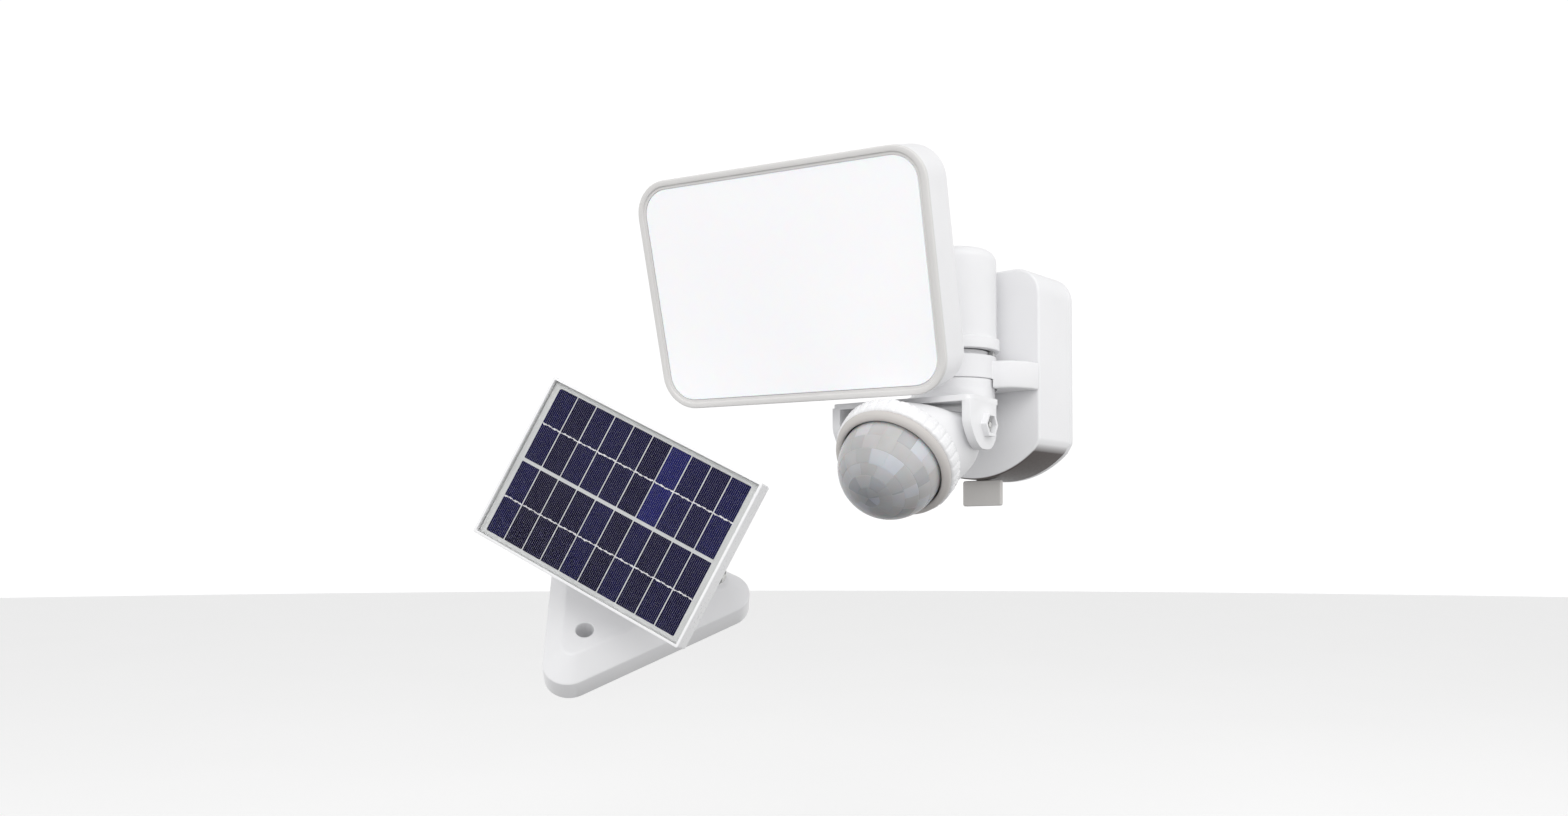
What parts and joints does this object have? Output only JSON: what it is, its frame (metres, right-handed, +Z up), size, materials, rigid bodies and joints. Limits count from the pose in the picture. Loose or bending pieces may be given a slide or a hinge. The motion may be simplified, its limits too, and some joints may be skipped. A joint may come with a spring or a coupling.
{
  "type": "solar flood light",
  "caption": "Wall-mounted flood light head on a swivel neck with a motion sensor below it, and its separate solar panel on a triangular foot.",
  "frame": {"origin": "centre of the wall plate's back face, where it lies on the wall", "axes": "+Y into the wall, so the lamp stands out along -Y; +Z up; +X to the right as the lamp is seen from in front"},
  "size_m": [0.3214, 0.2772, 0.3285],
  "materials": {
    "white_shell": "satin moulded",
    "bezel_grey": "satin moulded",
    "opal_lens": "smooth opal",
    "sensor_lens": "translucent, with a moulded lens grid",
    "panel_cover_glass": "clear",
    "solar_cells": "dark blue cells with silver ribbons",
    "steel": "zinc plated",
    "black_plastic": "fine texture",
    "knob_grey": "fine texture",
    "seal_rubber": "matt",
    "battery_wrap": "shrink wrap",
    "board": "solder mask",
    "white_board": "white solder mask",
    "reflector": "bright white"
  },
  "bodies": {
    "wall_unit": {"wall_plate": "white_shell", "wall_box": "white_shell", "case_screw_1": "steel", "case_screw_2": "steel", "box_seal": "seal_rubber", "battery_holder": "black_plastic", "battery_cell_1": "battery_wrap", "battery_cell_2": "battery_wrap", "control_board": "board", "charge_inlet": "black_plastic", "splash_guard": "bezel_grey", "hub_arm": "white_shell", "hub_screw_1": "steel", "hub_screw_2": "steel", "swivel_bolt": "steel", "swivel_nut": "steel", "panel_foot": "white_shell"},
    "neck": {"neck_tube": "white_shell", "neck_arm": "white_shell", "arm_screw_1": "steel", "arm_screw_2": "steel", "swivel_stop": "steel"},
    "knuckle": {"knuckle": "white_shell", "pan_screw_top": "steel", "pan_screw_low": "steel", "tilt_screw_left": "steel", "tilt_screw_right": "steel"},
    "head": {"head_housing": "white_shell", "head_bezel": "bezel_grey", "head_lens": "opal_lens", "reflector_tray": "reflector", "led_board": "white_board", "head_bracket": "white_shell", "bracket_screw_1": "steel", "bracket_screw_2": "steel"},
    "yoke": {"sensor_yoke": "white_shell", "sensor_nut": "steel"},
    "sensor": {"sensor_housing": "white_shell", "sensor_collar": "white_shell", "dome_ring": "bezel_grey", "sensor_dome": "sensor_lens", "sensor_board": "board", "pyro_sensor": "steel", "sensor_screw": "steel", "sensor_stud": "steel"},
    "stem": {"panel_stem": "white_shell", "stem_bolt": "steel"},
    "panel": {"panel_frame": "white_shell", "panel_glass": "panel_cover_glass", "cell_sheet": "solar_cells", "panel_back": "white_shell", "rod_lug_left": "white_shell", "rod_lug_right": "white_shell", "tilt_rod": "steel", "rod_knob_left": "knob_grey", "rod_knob_right": "knob_grey", "junction_box": "black_plastic", "lead_gland": "seal_rubber"}
  },
  "joints": [
    {"name": "neck_swivel", "type": "hinge", "parent": "wall_unit", "child": "neck", "pos_m": [0.0034, -0.0746, 0], "axis": [0, 0, 1], "range_deg": [-35, 45]},
    {"name": "knuckle_pan", "type": "hinge", "parent": "neck", "child": "knuckle", "pos_m": [-0.05156, -0.13518, 0.05017], "axis": [0, 0, 1], "range_deg": [-80, 3]},
    {"name": "head_tilt", "type": "hinge", "parent": "knuckle", "child": "head", "pos_m": [-0.05156, -0.13518, 0.05017], "axis": [0.9751, 0.2215, 0], "range_deg": [-35, 1.5]},
    {"name": "sensor_pan", "type": "hinge", "parent": "wall_unit", "child": "yoke", "pos_m": [0.0034, -0.0746, 0], "axis": [0, 0, 1], "range_deg": [-60, 50]},
    {"name": "sensor_tilt", "type": "hinge", "parent": "yoke", "child": "sensor", "pos_m": [0.00776, -0.12441, -0.041], "axis": [0.9962, 0.0872, 0], "range_deg": [-3, 40]},
    {"name": "panel_swivel", "type": "hinge", "parent": "wall_unit", "child": "stem", "pos_m": [-0.1993, -0.1718, -0.1524], "axis": [0.5445, -0.5483, 0.6347], "range_deg": [-40, 40]},
    {"name": "panel_tilt", "type": "hinge", "parent": "stem", "child": "panel", "pos_m": [-0.15215, -0.21928, -0.09743], "axis": [0.8376, 0.3148, -0.4465], "range_deg": [-50, 50]}
  ]
}
